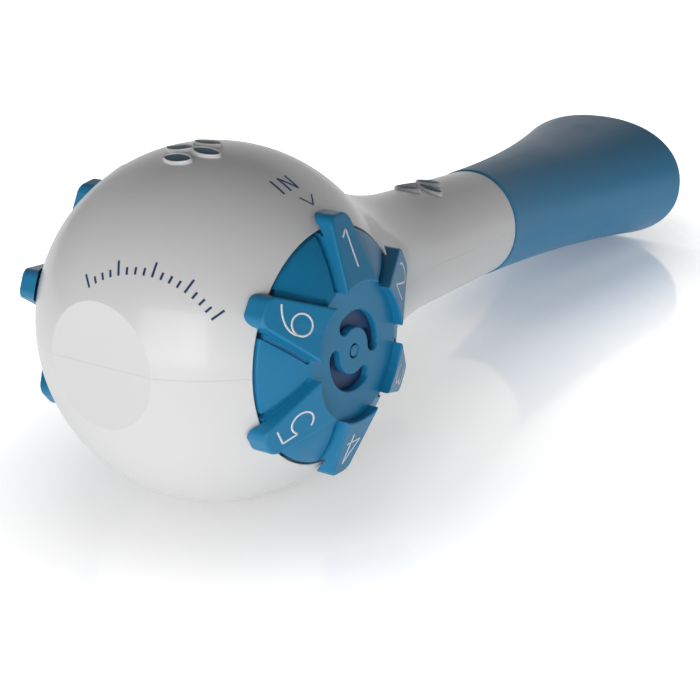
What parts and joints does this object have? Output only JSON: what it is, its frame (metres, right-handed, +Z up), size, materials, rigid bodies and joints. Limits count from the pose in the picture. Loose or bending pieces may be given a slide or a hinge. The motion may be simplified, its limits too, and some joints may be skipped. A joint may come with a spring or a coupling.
{
  "type": "breathing trainer",
  "caption": "Hand-held breathing trainer: a hollow ball and handle with a numbered resistance dial and valve on each side and a flared oval mouthpiece that pulls off.",
  "frame": {"origin": "centre of the object's bounding box, 0.3 mm above the handle's axis", "axes": "+X along the handle from the ball to the mouthpiece, +Z up through the crown of the ball and across the mouthpiece's short side, -Y towards the inhale dial"},
  "size_m": [0.1888, 0.0654, 0.0666],
  "materials": {
    "white_moulding": "smooth moulded plastic with a soft gloss, like polished polypropylene",
    "dial_blue": "fine satin moulded plastic in petrol blue",
    "mouthpiece_blue": "soft satin elastomer-like plastic in slate blue",
    "seat_navy": "satin moulded plastic in dark navy",
    "inlay_blue": "matte soft-touch elastomer in deep petrol blue",
    "valve_silicone": "milky silicone rubber",
    "seal_rubber": "black matte rubber"
  },
  "bodies": {
    "housing": {"upper_shell": "white_moulding", "lower_shell": "white_moulding", "port_tube": "white_moulding", "port_seal": "seal_rubber", "inhale_seat": "seat_navy", "inhale_seat_gasket": "seal_rubber", "exhale_seat": "seat_navy", "exhale_seat_gasket": "seal_rubber", "grip_inlay_ball_top_1": "inlay_blue", "grip_inlay_ball_top_2": "inlay_blue", "grip_inlay_ball_top_3": "inlay_blue", "grip_inlay_ball_top_4": "inlay_blue", "grip_inlay_handle_top_1": "inlay_blue", "grip_inlay_handle_top_2": "inlay_blue", "grip_inlay_handle_top_3": "inlay_blue", "grip_inlay_handle_top_4": "inlay_blue", "grip_inlay_handle_under_1": "inlay_blue", "grip_inlay_handle_under_2": "inlay_blue", "grip_inlay_handle_under_3": "inlay_blue", "grip_inlay_handle_under_4": "inlay_blue"},
    "mouthpiece_body": {"mouthpiece": "mouthpiece_blue"},
    "inhale_dial_body": {"inhale_dial": "dial_blue", "inhale_pivot_pin": "dial_blue"},
    "exhale_dial_body": {"exhale_dial": "dial_blue", "exhale_pivot_pin": "dial_blue"},
    "inhale_valve_body": {"inhale_valve_disc": "valve_silicone"},
    "exhale_valve_body": {"exhale_valve_disc": "valve_silicone"}
  },
  "joints": [
    {"name": "inhale_dial_turn", "type": "hinge", "parent": "housing", "child": "inhale_dial_body", "pos_m": [-0.06335, -0.0305, -0.0003], "axis": [0, -1, 0], "range_deg": [0, 300]},
    {"name": "exhale_dial_turn", "type": "hinge", "parent": "housing", "child": "exhale_dial_body", "pos_m": [-0.06335, 0.0305, -0.0003], "axis": [0, 1, 0], "range_deg": [0, 300]},
    {"name": "mouthpiece_pull", "type": "slide", "parent": "housing", "child": "mouthpiece_body", "axis": [1, 0, 0], "range_m": [0, 0.018]},
    {"name": "inhale_valve_lift", "type": "slide", "parent": "housing", "child": "inhale_valve_body", "axis": [0, 1, 0], "range_m": [0, 0.001]},
    {"name": "exhale_valve_lift", "type": "slide", "parent": "housing", "child": "exhale_valve_body", "axis": [0, 1, 0], "range_m": [0, 0.001]}
  ]
}
